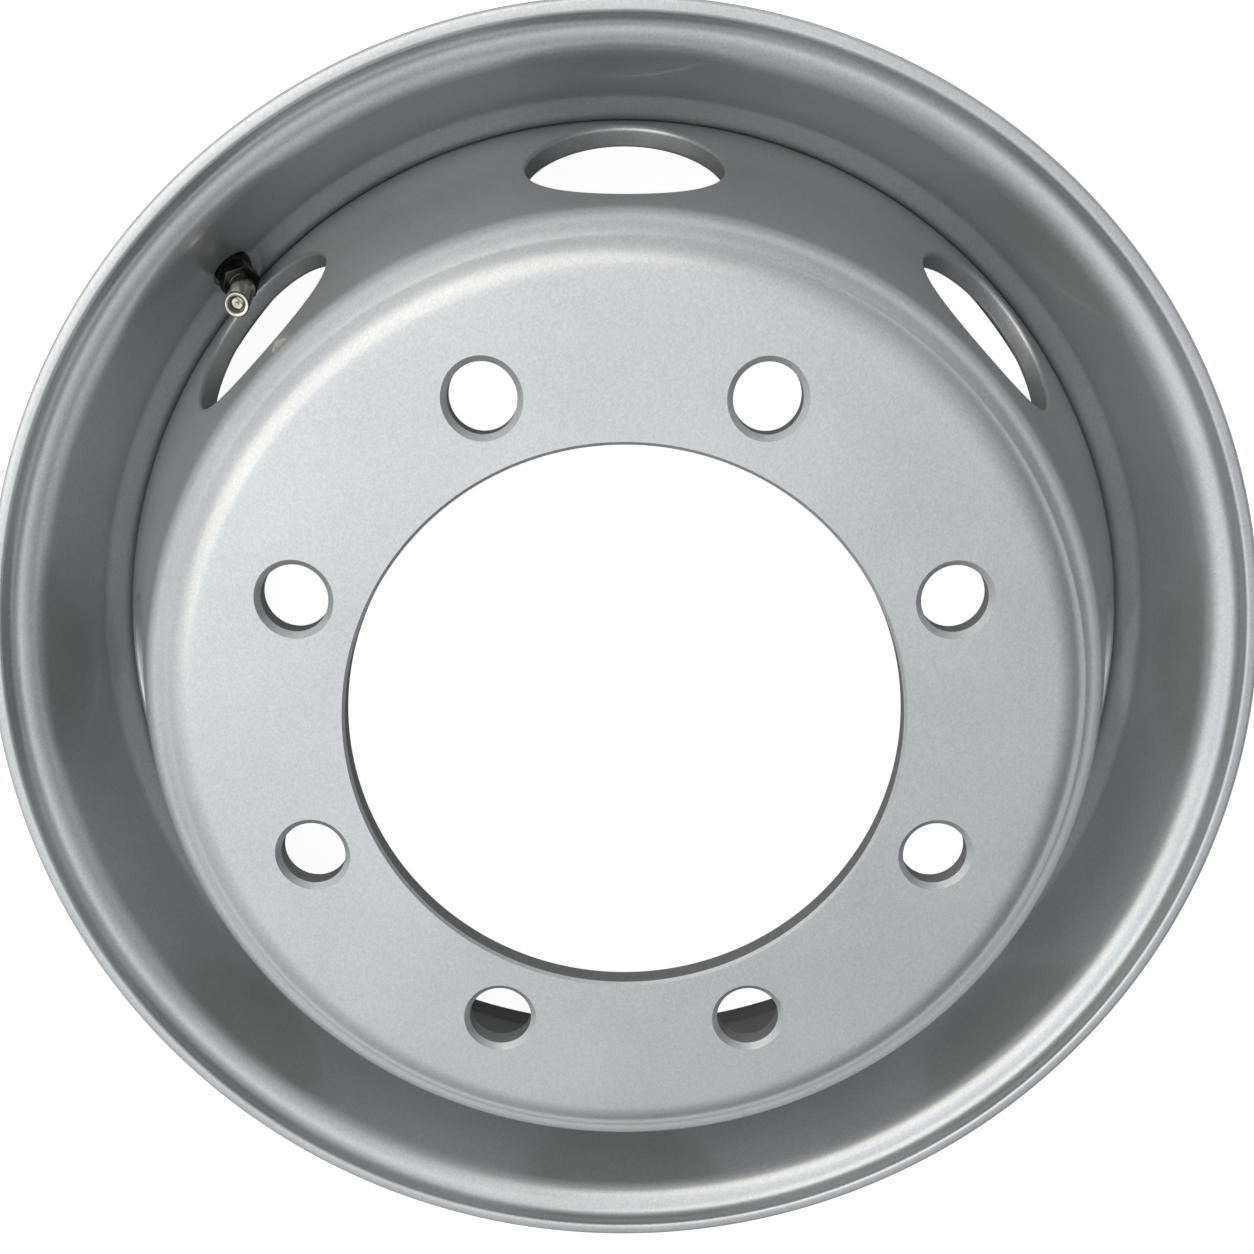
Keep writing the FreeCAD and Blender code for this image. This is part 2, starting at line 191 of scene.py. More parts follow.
punches = [
    ("UNION", rod("seat_plate", SEAT_BACK_D / 2 + SEAT_RIM, -SHEET / 2, SHEET / 2)),
    ("DIFFERENCE", rod("seat_front", SEAT_D / 2, SHEET / 2, SEAT_PUNCH_REACH)),
    ("DIFFERENCE", rod("seat_back", SEAT_BACK_D / 2, -SEAT_PUNCH_REACH, -SHEET / 2)),
    ("DIFFERENCE", rod("seat_hole", VALVE_HOLE_D / 2, -HOLE_PUNCH_REACH, HOLE_PUNCH_REACH)),
]
for operation, punch in punches:
    press = rim.modifiers.new("press", "BOOLEAN")
    press.operation = operation
    press.object = punch
    press.solver = "EXACT"
baked(rim)
for operation, punch in punches:
    bpy.data.objects.remove(punch)
finished(rim, 35)


def linear(hex_colour):
    """sRGB hex to a linear colour."""
    parts = [int(hex_colour[i:i + 2], 16) / 255 for i in (1, 3, 5)]
    return [p / 12.92 if p <= 0.04045 else ((p + 0.055) / 1.055) ** 2.4 for p in parts] + [1.0]


def node(tree, kind, settings=None, inputs=None, links=None):
    """Adds a node with its settings, socket values and links (socket: source socket)."""
    made = tree.nodes.new(kind)
    for key, value in (settings or {}).items():
        setattr(made, key, value)
    for key, value in (inputs or {}).items():
        made.inputs[key].default_value = value
    for key, source in (links or {}).items():
        tree.links.new(source, made.inputs[key])
    return made


def new_material(name):
    made = bpy.data.materials.new(name)
    made.use_nodes = True
    made.node_tree.nodes.clear()
    return made, made.node_tree


# Silver wheel paint: aluminium-flake lacquer sprayed on steel and baked. It gives the eye
# a soft metal sheen, a faint orange-peel ripple about 2 mm across and very slight clouding.
# Flakes are really under 0.1 mm; they are drawn 0.7 mm wide so that they show at all.
PEEL_MM = 2.2
CLOUD_MM = 60.0
FLAKE_MM = 0.7
paint, tree = new_material("silver_wheel_paint_sprayed_baked")
place = node(tree, "ShaderNodeTexCoord").outputs["Object"]
cloud = node(tree, "ShaderNodeTexNoise", inputs={"Scale": 1000 / CLOUD_MM, "Detail": 3.0},
             links={"Vector": place})
flake = node(tree, "ShaderNodeTexVoronoi", inputs={"Scale": 1000 / FLAKE_MM}, links={"Vector": place})
tone = node(tree, "ShaderNodeValToRGB", links={"Fac": cloud.outputs["Fac"]})
tone.color_ramp.elements[0].position = 0.3
tone.color_ramp.elements[0].color = linear("#B9BCBE")
tone.color_ramp.elements[1].position = 0.7
tone.color_ramp.elements[1].color = linear("#C2C5C6")
glint = node(tree, "ShaderNodeRGBToBW", links={"Color": flake.outputs["Color"]})
spark = node(tree, "ShaderNodeMix", {"data_type": "RGBA", "blend_type": "SOFT_LIGHT"},
             {0: 0.20}, {6: tone.outputs["Color"], 7: glint.outputs["Val"]})
sheen = node(tree, "ShaderNodeMapRange", inputs={"To Min": 0.33, "To Max": 0.40},
             links={"Value": cloud.outputs["Fac"]})
peel = node(tree, "ShaderNodeTexNoise", inputs={"Scale": 1000 / PEEL_MM, "Detail": 1.0},
            links={"Vector": place})
ripple = node(tree, "ShaderNodeBump", inputs={"Strength": 0.05, "Distance": 0.0003},
              links={"Height": peel.outputs["Fac"]})
shader = node(tree, "ShaderNodeBsdfPrincipled",
              inputs={"Metallic": 0.62, "Coat Weight": 0.50, "Coat Roughness": 0.06},
              links={"Base Color": spark.outputs[2], "Roughness": sheen.outputs["Result"],
                     "Normal": ripple.outputs["Normal"]})
node(tree, "ShaderNodeOutputMaterial", links={"Surface": shader.outputs["BSDF"]})

rim.data.materials.clear()
rim.data.materials.append(paint)
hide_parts("rim")
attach(rim, "wheel")

# Disc: a round steel blank pressed to a dish and flow formed thinner towards its skirt,
# then pierced with the hub bore, the bolt holes and the round vents. One sector of it is
# meshed here, with rings of faces round each hole, and repeated round the axis by nodes.
SECTORS = 8
SEAM = 2e-5
COLUMNS = 48
BORE_R = 110.5
BORE_CHAMFER = 1.2
FLAT_T = 12.0
FLAT_R = 170.5
SHOULDER_R1 = 16.0
SHOULDER_TURN = 49.0
CREASE_TURN = 27.0
CREASE_ROUND = 2.5
CREASE_RELIEF = 0.55
CREASE_GAP = 0.3
SHOULDER_R2 = 20.0
WALL_ANGLE = 16.602
KNEE_BEND = 30.0
SKIRT_R = 220.0
SKIRT_T = 7.0
SKIRT_END = 148.0
BACK_FLAT_REACH = 3.5
BACK_FLAT_BEND = 10.0
BACK_CREST_IN = 9.5
BACK_CREST_DOWN = 4.0
BACK_CREST_BEND = 14.0
BACK_KNEE_DEPTH = 113.3
BOLT_R = 137.5
BOLT_HOLE_R = 13.0
BOLT_CHAMFER = 2.3
BOLT_BACK_CHAMFER = 0.8
VENT_R = 38.0
VENT_DEPTH = 65.0
VENT_EDGE = 1.8


def arc(r, w, radius, first, last, count):
    """Points of a shoulder bend, from one slope to another, that starts at (r, w)."""
    out = []
    for i in range(count + 1):
        a, b = math.radians(first), math.radians(first + (last - first) * i / count)
        out.append((r + radius * (math.sin(b) - math.sin(a)),
                    w + radius * (math.cos(a) - math.cos(b))))
    return out


shoulder = arc(FLAT_R, 0, SHOULDER_R1, 0, SHOULDER_TURN, 14)
crest = arc(*shoulder[-1], SHOULDER_R2, CREASE_TURN, 90 - WALL_ANGLE, 14)
# the crease between them is a small hollow bend, cut in at both sides
cut = CREASE_ROUND * math.tan(math.radians((SHOULDER_TURN - CREASE_TURN) / 2)) + CREASE_RELIEF
low = np.array(shoulder[-1]) - cut * np.array((math.cos(math.radians(SHOULDER_TURN)),
                                               math.sin(math.radians(SHOULDER_TURN))))
high = np.array(shoulder[-1]) + cut * np.array((math.cos(math.radians(CREASE_TURN)),
                                                math.sin(math.radians(CREASE_TURN))))
crease = []
for t in (0.0, 0.25, 0.5, 0.75, 1.0):
    p = (1 - t) ** 2 * low + 2 * t * (1 - t) * np.array(shoulder[-1]) + t * t * high
    crease.append(tuple(p))
shoulder = [p for p in shoulder if p[0] < low[0] - CREASE_GAP]
crest_bend = [p for p in crest if p[0] > high[0] + CREASE_GAP]
top = crest[-1]
knee_w = top[1] + (SKIRT_R - top[0]) / math.tan(math.radians(WALL_ANGLE))
wall = bent([(*top, 0), (SKIRT_R, knee_w, KNEE_BEND), (SKIRT_R, SKIRT_END, 0)], 2.0)
inside = bent([(BORE_R, FLAT_T, 0), (FLAT_R + BACK_FLAT_REACH, FLAT_T, BACK_FLAT_BEND),
               (top[0] - BACK_CREST_IN, top[1] + BACK_CREST_DOWN, BACK_CREST_BEND),
               (SKIRT_R - SKIRT_T, BACK_KNEE_DEPTH, KNEE_BEND),
               (SKIRT_R - SKIRT_T, SKIRT_END, 0)], 4.0)
outer_r = [p[0] for p in crest[1:] + wall[1:]]
outer_w = [p[1] for p in crest[1:] + wall[1:]]
inner_r = [p[0] for p in inside[2:]]
inner_w = [p[1] for p in inside[2:]]
sector_points = []
sector_faces = []


def spot(r, degrees, w):
    a = math.radians(degrees)
    return (r * math.cos(a) / 1000, r * math.sin(a) / 1000, (FLAT_HEIGHT - w) / 1000)


def quilt(rows, closed=False):
    """Faces between rows of points, each row as long as the next."""
    start = len(sector_points)
    width = len(rows[0])
    for row in rows:
        sector_points.extend(row)
    for j in range(len(rows) - 1):
        for i in range(width if closed else width - 1):
            k = (i + 1) % width
            a = start + j * width
            sector_faces.append((a + i, a + k, a + width + k, a + width + i))


def band(profile):
    """A plain stretch of the dish over one sector."""
    step = 360 / SECTORS / COLUMNS
    quilt([[spot(r, i * step, w) for i in range(COLUMNS + 1)] for r, w in profile])


def frame_of(half_width, low_side, high_side, sides):
    """Border of a sector patch, once round, as (across in degrees, along)."""
    step = 2 * half_width / COLUMNS
    rise = (high_side - low_side) / sides
    walk = [(half_width, low_side + rise * i) for i in range(sides)]
    walk += [(half_width - step * i, high_side) for i in range(COLUMNS)]
    walk += [(-half_width, high_side - rise * i) for i in range(sides)]
    walk += [(-half_width + step * i, low_side) for i in range(COLUMNS)]
    return walk


HALF_SECTOR = 180 / SECTORS
PATCH_ROWS = 7
BOLT_PATCH = (116.0, 159.0)
VENT_PATCH = (21.5, 106.0)
PATCH_EASE = 0.8
VENT_SEARCH = (-30.0, 12.0)

# bolt hole patch on both faces of the flat, with its chamfers and wall
border = frame_of(HALF_SECTOR, *BOLT_PATCH, 16)
loops = {}
for face_w in (0.0, FLAT_T):
    chamfer = BOLT_CHAMFER if face_w == 0 else BOLT_BACK_CHAMFER
    rows = []
    ring = []
    for across, r in border:
        x = r * math.cos(math.radians(across)) - BOLT_R
        y = r * math.sin(math.radians(across))
        far = math.hypot(x, y)
        ring.append((x / far, y / far, x, y))
    for j in range(PATCH_ROWS + 1):
        t = (j / PATCH_ROWS) ** PATCH_EASE
        near = BOLT_HOLE_R + chamfer
        row = []
        for ux, uy, x, y in ring:
            px, py = x + (ux * near - x) * t, y + (uy * near - y) * t
            row.append(spot(math.hypot(px + BOLT_R, py),
                            HALF_SECTOR + math.degrees(math.atan2(py, px + BOLT_R)), face_w))
        rows.append(row)
    depth = face_w + chamfer if face_w == 0 else face_w - chamfer
    row = []
    for ux, uy, x, y in ring:
        px, py = BOLT_R + ux * BOLT_HOLE_R, uy * BOLT_HOLE_R
        row.append(spot(math.hypot(px, py), HALF_SECTOR + math.degrees(math.atan2(py, px)), depth))
    rows.append(row)
    loops[face_w] = row
    quilt(rows, closed=True)
quilt([loops[0.0], loops[FLAT_T]], closed=True)

# vent patch on both skins of the wall, with rounded edges and its wall
border = frame_of(HALF_SECTOR, *VENT_PATCH, 16)
tilt = math.radians(WALL_ANGLE)
vent_centre = np.array((top[0] + (VENT_DEPTH - top[1]) * math.tan(tilt), 0, -VENT_DEPTH))
vent_out = np.array((math.cos(tilt), 0, math.sin(tilt)))
vent_down = np.array((math.sin(tilt), 0, -math.cos(tilt)))


def on_skin(skin_w, skin_r, side, along):
    """Where the line through the vent, at a place on its face, meets a skin of the wall."""
    base = vent_centre + np.array((0, side, 0)) + vent_down * along
    lo, hi = VENT_SEARCH
    for i in range(40):
        mid = (lo + hi) / 2
        p = base + vent_out * mid
        if math.hypot(p[0], p[1]) < np.interp(-p[2], skin_w, skin_r):
            lo = mid
        else:
            hi = mid
    return base + vent_out * lo


edge_loops = []
for skin_w, skin_r, sign in ((outer_w, outer_r, 1), (inner_w, inner_r, -1)):
    rows = [[] for i in range(PATCH_ROWS)]
    rims = [[] for i in range(6)]
    for across, w in border:
        r = np.interp(w, skin_w, skin_r)
        p = np.array((r * math.cos(math.radians(across)), r * math.sin(math.radians(across)), -w))
        side, along = p[1], (p - vent_centre).dot(vent_down)
        far = math.hypot(side, along)
        side, along = side / far, along / far
        start = on_skin(skin_w, skin_r, side * (VENT_R + VENT_EDGE), along * (VENT_R + VENT_EDGE))
        corner = on_skin(skin_w, skin_r, side * VENT_R, along * VENT_R)
        end = corner - vent_out * VENT_EDGE * sign
        a1 = math.degrees(math.atan2(start[1], start[0]))
        for j in range(PATCH_ROWS):
            t = (j / PATCH_ROWS) ** PATCH_EASE
            wj = w + (-start[2] - w) * t
            rows[j].append(spot(np.interp(wj, skin_w, skin_r), across + (a1 - across) * t, wj))
        for j in range(6):
            t = j / 5
            q = (1 - t) ** 2 * start + 2 * t * (1 - t) * corner + t * t * end
            rims[j].append((q[0] / 1000, q[1] / 1000, (FLAT_HEIGHT + q[2]) / 1000))
    quilt(rows + rims, closed=True)
    edge_loops.append(rims[-1])
quilt(edge_loops, closed=True)

# plain stretches between the patches
band([(BORE_R + BORE_CHAMFER, 0), (BOLT_PATCH[0], 0)])
upper = [p for p in crest_bend if p[1] < VENT_PATCH[0]]
lower = [p for p in wall if p[1] > VENT_PATCH[1]]
band([(BOLT_PATCH[1], 0), (FLAT_R - 6, 0)] + shoulder + crease + upper
     + [(np.interp(VENT_PATCH[0], outer_w, outer_r), VENT_PATCH[0])])
band([(np.interp(VENT_PATCH[1], outer_w, outer_r), VENT_PATCH[1])] + lower)
band([(SKIRT_R, SKIRT_END), (SKIRT_R - SKIRT_T, SKIRT_END)])
low_in = [p for p in inside if p[1] > VENT_PATCH[1]]
high_in = [p for p in inside[1:] if p[1] < VENT_PATCH[0]]
band(low_in[::-1] + [(np.interp(VENT_PATCH[1], inner_w, inner_r), VENT_PATCH[1])])
band([(np.interp(VENT_PATCH[0], inner_w, inner_r), VENT_PATCH[0])] + high_in[::-1]
     + [(BOLT_PATCH[1], FLAT_T)])
band([(BOLT_PATCH[0], FLAT_T), (BORE_R + BORE_CHAMFER, FLAT_T), (BORE_R, FLAT_T - BORE_CHAMFER),
      (BORE_R, BORE_CHAMFER), (BORE_R + BORE_CHAMFER, 0)])

sector = bpy.data.meshes.new("disc_dish")
sector.from_pydata(sector_points, [], sector_faces)
disc = new_piece("disc_dish", sector)

# nodes that repeat a sector round the axis and join the copies along their seams
round_axis = bpy.data.node_groups.new("sectors_round_axis", "GeometryNodeTree")
sockets = round_axis.interface
sockets.new_socket("Geometry", in_out="INPUT", socket_type="NodeSocketGeometry")
sectors_in = sockets.new_socket("Sectors", in_out="INPUT", socket_type="NodeSocketInt")
seam_in = sockets.new_socket("Seam", in_out="INPUT", socket_type="NodeSocketFloat")
finish_in = sockets.new_socket("Finish", in_out="INPUT", socket_type="NodeSocketMaterial")
sockets.new_socket("Geometry", in_out="OUTPUT", socket_type="NodeSocketGeometry")
given = node(round_axis, "NodeGroupInput").outputs
marks = node(round_axis, "GeometryNodePoints", links={"Count": given["Sectors"]})
share = node(round_axis, "ShaderNodeMath", {"operation": "DIVIDE"}, {0: math.tau},
             {1: given["Sectors"]})
index = node(round_axis, "GeometryNodeInputIndex")
angle = node(round_axis, "ShaderNodeMath", {"operation": "MULTIPLY"},
             links={0: index.outputs["Index"], 1: share.outputs[0]})
turn = node(round_axis, "ShaderNodeCombineXYZ", links={"Z": angle.outputs[0]})
copies = node(round_axis, "GeometryNodeInstanceOnPoints",
              links={"Points": marks.outputs[0], "Instance": given["Geometry"],
                     "Rotation": turn.outputs[0]})
solid = node(round_axis, "GeometryNodeRealizeInstances", links={"Geometry": copies.outputs[0]})
joined = node(round_axis, "GeometryNodeMergeByDistance",
              links={"Geometry": solid.outputs[0], "Distance": given["Seam"]})
coated = node(round_axis, "GeometryNodeSetMaterial",
              links={"Geometry": joined.outputs[0], "Material": given["Finish"]})
node(round_axis, "NodeGroupOutput", links={"Geometry": coated.outputs[0]})
repeat = disc.modifiers.new("sectors", "NODES")
repeat.node_group = round_axis
repeat[sectors_in.identifier] = SECTORS
repeat[seam_in.identifier] = SEAM
repeat[finish_in.identifier] = paint
baked(disc)
finished(disc, 30)
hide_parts("disc")
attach(disc, "wheel")

# Weld bead: one pass of arc weld that joins the skirt's end to the well, painted over
# with the wheel. Its face is slightly hollow and rippled where each drop froze.
WELD_LEG = 6.5
RIPPLE_MM = 2.6
RIPPLE_HEIGHT = 0.22
RIPPLE_STEPS = 4
RIPPLE_LAG = 0.45
WELD_HOLLOW = 0.08
ACROSS = 6
steps = round(2 * math.pi * SKIRT_R / RIPPLE_MM) * RIPPLE_STEPS
points, faces = [], []
corner = np.array((SKIRT_R, SKIRT_END))
ends = (corner + (0, WELD_LEG), corner - (WELD_LEG, 0))
for k in range(steps):
    a = 2 * math.pi * k / steps
    loop = [corner]
    for j in range(ACROSS + 1):
        t = j / ACROSS
        bow = math.sin(math.pi * t)
        p = ends[0] + (ends[1] - ends[0]) * t + np.array((1, -1)) * WELD_HOLLOW * WELD_LEG * bow
        crest_at = (k / RIPPLE_STEPS + RIPPLE_LAG * bow) * 2 * math.pi
        p = p + np.array((1, -1)) * RIPPLE_HEIGHT * bow * (0.5 + 0.5 * math.cos(crest_at))
        loop.append(p)
    points += [spot(p[0], math.degrees(a), p[1]) for p in loop]
width = ACROSS + 2
for k in range(steps):
    m = (k + 1) % steps
    for j in range(width):
        i = (j + 1) % width
        faces.append((k * width + j, k * width + i, m * width + i, m * width + j))
mesh = bpy.data.meshes.new("weld_bead_ripple")
mesh.from_pydata(points, [], faces)
bead = new_piece("weld_bead_ripple", mesh)
finished(bead, 40)
bead.data.materials.append(paint)
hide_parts("weld_bead")
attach(bead, "wheel")

# Valve grommet: black moulded rubber, squeezed between the stem's foot and the seat, with
# a collar that lines the hole. It gives the eye a deep matt black with a fine grain.
GRAIN_MM = 0.5
rubber, tree = new_material("black_rubber_moulded")
place = node(tree, "ShaderNodeTexCoord").outputs["Object"]
grain = node(tree, "ShaderNodeTexNoise", inputs={"Scale": 1000 / GRAIN_MM, "Detail": 3.0},
             links={"Vector": place})
pits = node(tree, "ShaderNodeBump", inputs={"Strength": 0.2, "Distance": 0.0001},
            links={"Height": grain.outputs["Fac"]})
shader = node(tree, "ShaderNodeBsdfPrincipled",
              inputs={"Base Color": linear("#1B1B1A"), "Roughness": 0.65},
              links={"Normal": pits.outputs["Normal"]})
node(tree, "ShaderNodeOutputMaterial", links={"Surface": shader.outputs["BSDF"]})


def dress(name, material, edge_mm):
    """Gives a small turned or milled piece its finish and breaks its edges."""
    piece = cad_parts[name]
    piece.data.materials.clear()
    piece.data.materials.append(material)
    join = piece.modifiers.new("join", "WELD")
    join.merge_threshold = 2e-6
    broken = piece.modifiers.new("broken_edges", "BEVEL")
    broken.width = edge_mm / 1000
    broken.segments = 2
    broken.limit_method = "ANGLE"
    broken.angle_limit = math.radians(28)
    broken.harden_normals = True
    return piece


dress("valve_grommet", rubber, 0.15)

# Valve washer and nut: turned and milled steel with a dark, slightly mottled plating. The nut
# clamps the stem's foot against the seat from the inside.
PATINA_MM = 2.5
plated, tree = new_material("dark_plated_steel_turned")
place = node(tree, "ShaderNodeTexCoord").outputs["Object"]
patina = node(tree, "ShaderNodeTexNoise", inputs={"Scale": 1000 / PATINA_MM, "Detail": 4.0},
              links={"Vector": place})
tone = node(tree, "ShaderNodeValToRGB", links={"Fac": patina.outputs["Fac"]})
tone.color_ramp.elements[0].position = 0.35
tone.color_ramp.elements[0].color = linear("#2A2A29")
tone.color_ramp.elements[1].position = 0.75
tone.color_ramp.elements[1].color = linear("#4A4844")
shader = node(tree, "ShaderNodeBsdfPrincipled", inputs={"Metallic": 0.9, "Roughness": 0.34},
              links={"Base Color": tone.outputs["Color"]})
node(tree, "ShaderNodeOutputMaterial", links={"Surface": shader.outputs["BSDF"]})
dress("valve_washer", plated, 0.15)
dress("valve_nut", plated, 0.25)

# Valve stem: brass turned to a foot, a threaded shank and a chamfered mouth, then nickel
# plated and bent. The thread has a 0.8 mm pitch and a plain stretch at the bend.
STEM_R = 4.85
STEM_RISE = 16.6
STEM_REACH = 30.0
BEND_R = 10.0
BEND_DEG = 24.0
FOOT_R = 8.5
FOOT_T = 2.6
GROMMET_T = 2.8
THREAD_PITCH = 0.8
THREAD_DEPTH = 0.42
THREAD_FADE = (1.2, 0.9)
NUT_THREAD_FROM = 8.6
TIP_THREAD_FROM = 8.0
BEND_CLEAR = 0.4
TIP_CLEAR = 1.0
MOUTH_R = 3.3
MOUTH_DEPTH = 3.2
CORE_BORE_R = 2.7
THROAT_R = 1.5
CORE_LENGTH = 16.0
CORE_DROP = 2.4
ROUND = 64
bend_from = SHEET / 2 + STEM_RISE
bend_to = bend_from + BEND_R * math.radians(BEND_DEG)


def on_stem(x, y, along):
    """A place beside the stem's middle line, along being counted over the bend."""
    a = min(max((along - bend_from) / BEND_R, 0), math.radians(BEND_DEG))
    rest = along - bend_from - BEND_R * a
    return valve_axis @ (Vector((BEND_R + (x - BEND_R) * math.cos(a) + rest * math.sin(a), y,
                                 bend_from + (BEND_R - x) * math.sin(a) + rest * math.cos(a))) / 1000)


foot = -SHEET / 2 - GROMMET_T
tip = bend_to + STEM_REACH
floor_of_bore = tip - CORE_LENGTH - CORE_DROP
threads = ((SHEET / 2 + NUT_THREAD_FROM, bend_from - BEND_CLEAR),
           (bend_to + TIP_THREAD_FROM, tip - TIP_CLEAR))
sides = [(THROAT_R, foot - FOOT_T), (FOOT_R - 1.0, foot - FOOT_T), (FOOT_R - 0.3, foot - FOOT_T + 0.35),
         (FOOT_R, foot - FOOT_T + 1.0), (FOOT_R, foot - 0.2), (FOOT_R - 0.2, foot), (STEM_R, foot)]
for low, high in threads:
    count = round((high - low) / THREAD_PITCH * 6)
    sides += [(None, low + (high - low) * i / count) for i in range(count + 1)]
    if high < bend_to:
        sides += [(STEM_R, high + BEND_CLEAR + (bend_to - high) * i / 12) for i in range(13)]
sides += [(STEM_R - 0.15, tip - 0.6), (STEM_R - 0.3, tip - 0.2), (STEM_R - 0.55, tip),
          (MOUTH_R + 0.45, tip), (MOUTH_R + 0.12, tip - 0.15), (MOUTH_R, tip - 0.4),
          (MOUTH_R, tip - MOUTH_DEPTH), (CORE_BORE_R, tip - MOUTH_DEPTH - 0.6),
          (CORE_BORE_R, floor_of_bore), (THROAT_R, floor_of_bore - 1.2)]
sides += [(THROAT_R, bend_to - (bend_to - bend_from) * i / 6) for i in range(7)]
points, faces = [], []
for r, h in sides:
    for k in range(ROUND):
        a = 2 * math.pi * k / ROUND
        radius = r
        if r is None:
            low, high = threads[0] if h < bend_from else threads[1]
            turn_at = (h / THREAD_PITCH - k / ROUND) % 1.0
            fade = max(0, min(1.0, (h - low) / THREAD_FADE[0], (high - h) / THREAD_FADE[1]))
            radius = STEM_R - THREAD_DEPTH * fade * abs(2 * turn_at - 1)
        points.append(on_stem(radius * math.cos(a), radius * math.sin(a), h))
for j in range(len(sides)):
    i = (j + 1) % len(sides)
    for k in range(ROUND):
        m = (k + 1) % ROUND
        faces.append((j * ROUND + k, j * ROUND + m, i * ROUND + m, i * ROUND + k))
mesh = bpy.data.meshes.new("valve_stem_threaded")
mesh.from_pydata(points, [], faces)
stem = new_piece("valve_stem_threaded", mesh)
finished(stem, 35)
HAZE_MM = 3.0
nickel, tree = new_material("nickel_plated_brass_turned")
place = node(tree, "ShaderNodeTexCoord").outputs["Object"]
haze = node(tree, "ShaderNodeTexNoise", inputs={"Scale": 1000 / HAZE_MM, "Detail": 3.0},
            links={"Vector": place})
gloss = node(tree, "ShaderNodeMapRange", inputs={"To Min": 0.16, "To Max": 0.30},
             links={"Value": haze.outputs["Fac"]})
shader = node(tree, "ShaderNodeBsdfPrincipled",
              inputs={"Base Color": linear("#CFCBC2"), "Metallic": 1.0},
              links={"Roughness": gloss.outputs["Result"]})
node(tree, "ShaderNodeOutputMaterial", links={"Surface": shader.outputs["BSDF"]})
stem.data.materials.append(nickel)
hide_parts("valve_stem")
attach(stem, "wheel")

# Valve core and its pin: turned brass with a thin nickel wash that leaves it pale. The pin
# is pushed up by a spring inside the core and is pressed down to let air in or out.
TARNISH_MM = 1.5
brass, tree = new_material("nickel_washed_brass_turned")
place = node(tree, "ShaderNodeTexCoord").outputs["Object"]
tarnish = node(tree, "ShaderNodeTexNoise", inputs={"Scale": 1000 / TARNISH_MM, "Detail": 3.0},
               links={"Vector": place})
tone = node(tree, "ShaderNodeValToRGB", links={"Fac": tarnish.outputs["Fac"]})
tone.color_ramp.elements[0].color = linear("#B6B0A0")
tone.color_ramp.elements[1].color = linear("#D8D3C6")
shader = node(tree, "ShaderNodeBsdfPrincipled", inputs={"Metallic": 1.0, "Roughness": 0.3},
              links={"Base Color": tone.outputs["Color"]})
node(tree, "ShaderNodeOutputMaterial", links={"Surface": shader.outputs["BSDF"]})
dress("valve_core", brass, 0.12)
dress("valve_core_pin", brass, 0.1)

# Floor: a mid-grey sheet whose glow makes it white to the camera and through glass. Metal sees
# that glow fade in between the HOOP_SHADOW distances (m) from the axis. This is a painted shadow of
# the wheel in what the hoop mirrors, so the hoop mirrors no white from under the wheel. So much
# glow leaves only a trace of the wheel's shadow.
HOOP_SHADOW = (0.24, 2.0)
FLOOR_GLOW = 0.95
FLOOR_HALF = 6
sweep, tree = new_material("pale_paper_floor")
path = node(tree, "ShaderNodeLightPath").outputs
reach = node(tree, "ShaderNodeVectorMath", {"operation": "LENGTH"},
             links={0: node(tree, "ShaderNodeTexCoord").outputs["Object"]})
# painted shadow: near the axis, the glow that metal mirrors is faded out
clear = node(tree, "ShaderNodeMapRange",
             inputs={"From Min": HOOP_SHADOW[0], "From Max": HOOP_SHADOW[1]},
             links={"Value": reach.outputs["Value"]})
mirrored = node(tree, "ShaderNodeMath", {"operation": "MULTIPLY"},
                links={0: path["Is Glossy Ray"], 1: clear.outputs["Result"]})
straight = node(tree, "ShaderNodeMath", {"operation": "MAXIMUM"},
                links={0: path["Is Camera Ray"], 1: path["Is Transmission Ray"]})
shown = node(tree, "ShaderNodeMath", {"operation": "MAXIMUM"},
             links={0: straight.outputs[0], 1: mirrored.outputs[0]})
paper = node(tree, "ShaderNodeBsdfDiffuse", inputs={"Color": linear("#8E8E8E")})
glow = node(tree, "ShaderNodeEmission", inputs={"Color": (1, 1, 1, 1), "Strength": FLOOR_GLOW})
both = node(tree, "ShaderNodeAddShader", links={0: paper.outputs[0], 1: glow.outputs[0]})
mix = node(tree, "ShaderNodeMixShader",
           links={0: shown.outputs[0], 1: paper.outputs[0], 2: both.outputs[0]})
node(tree, "ShaderNodeOutputMaterial", links={"Surface": mix.outputs[0]})
mesh = bpy.data.meshes.new("floor")
mesh.from_pydata([(x * FLOOR_HALF, y * FLOOR_HALF, 0) for x, y in ((-1, -1), (1, -1), (1, 1), (-1, 1))],
                 [], [(0, 1, 2, 3)])
floor = new_piece("floor", mesh)
floor.data.materials.append(sweep)

# Studio: a room that is bright over the valve's side and dim opposite, and two soft lamps. It
# is white to the camera, and metal and glass see a white backdrop round it that ends at
# BACKDROP_TOP (the sine of its height).
BACKDROP_TOP = 0.08
BRIGHT_SIDE = (-0.46, 0.32, 0.83)
ROOM_DIM = 0.02
ROOM_BRIGHT = 1.18
world = bpy.data.worlds.new("studio")
bpy.context.scene.world = world
world.use_nodes = True
tree = world.node_tree
tree.nodes.clear()
way = node(tree, "ShaderNodeTexCoord").outputs["Generated"]
facing = node(tree, "ShaderNodeVectorMath", {"operation": "DOT_PRODUCT"},
              {1: BRIGHT_SIDE}, {0: way})
fade = node(tree, "ShaderNodeMapRange",
            inputs={"From Min": -0.1, "From Max": 1.0, "To Min": ROOM_DIM, "To Max": ROOM_BRIGHT},
            links={"Value": facing.outputs["Value"]})
room = node(tree, "ShaderNodeBackground", inputs={"Color": linear("#F8FAFC")},
            links={"Strength": fade.outputs["Result"]})
white = node(tree, "ShaderNodeBackground", inputs={"Color": (1, 1, 1, 1), "Strength": 1.0})
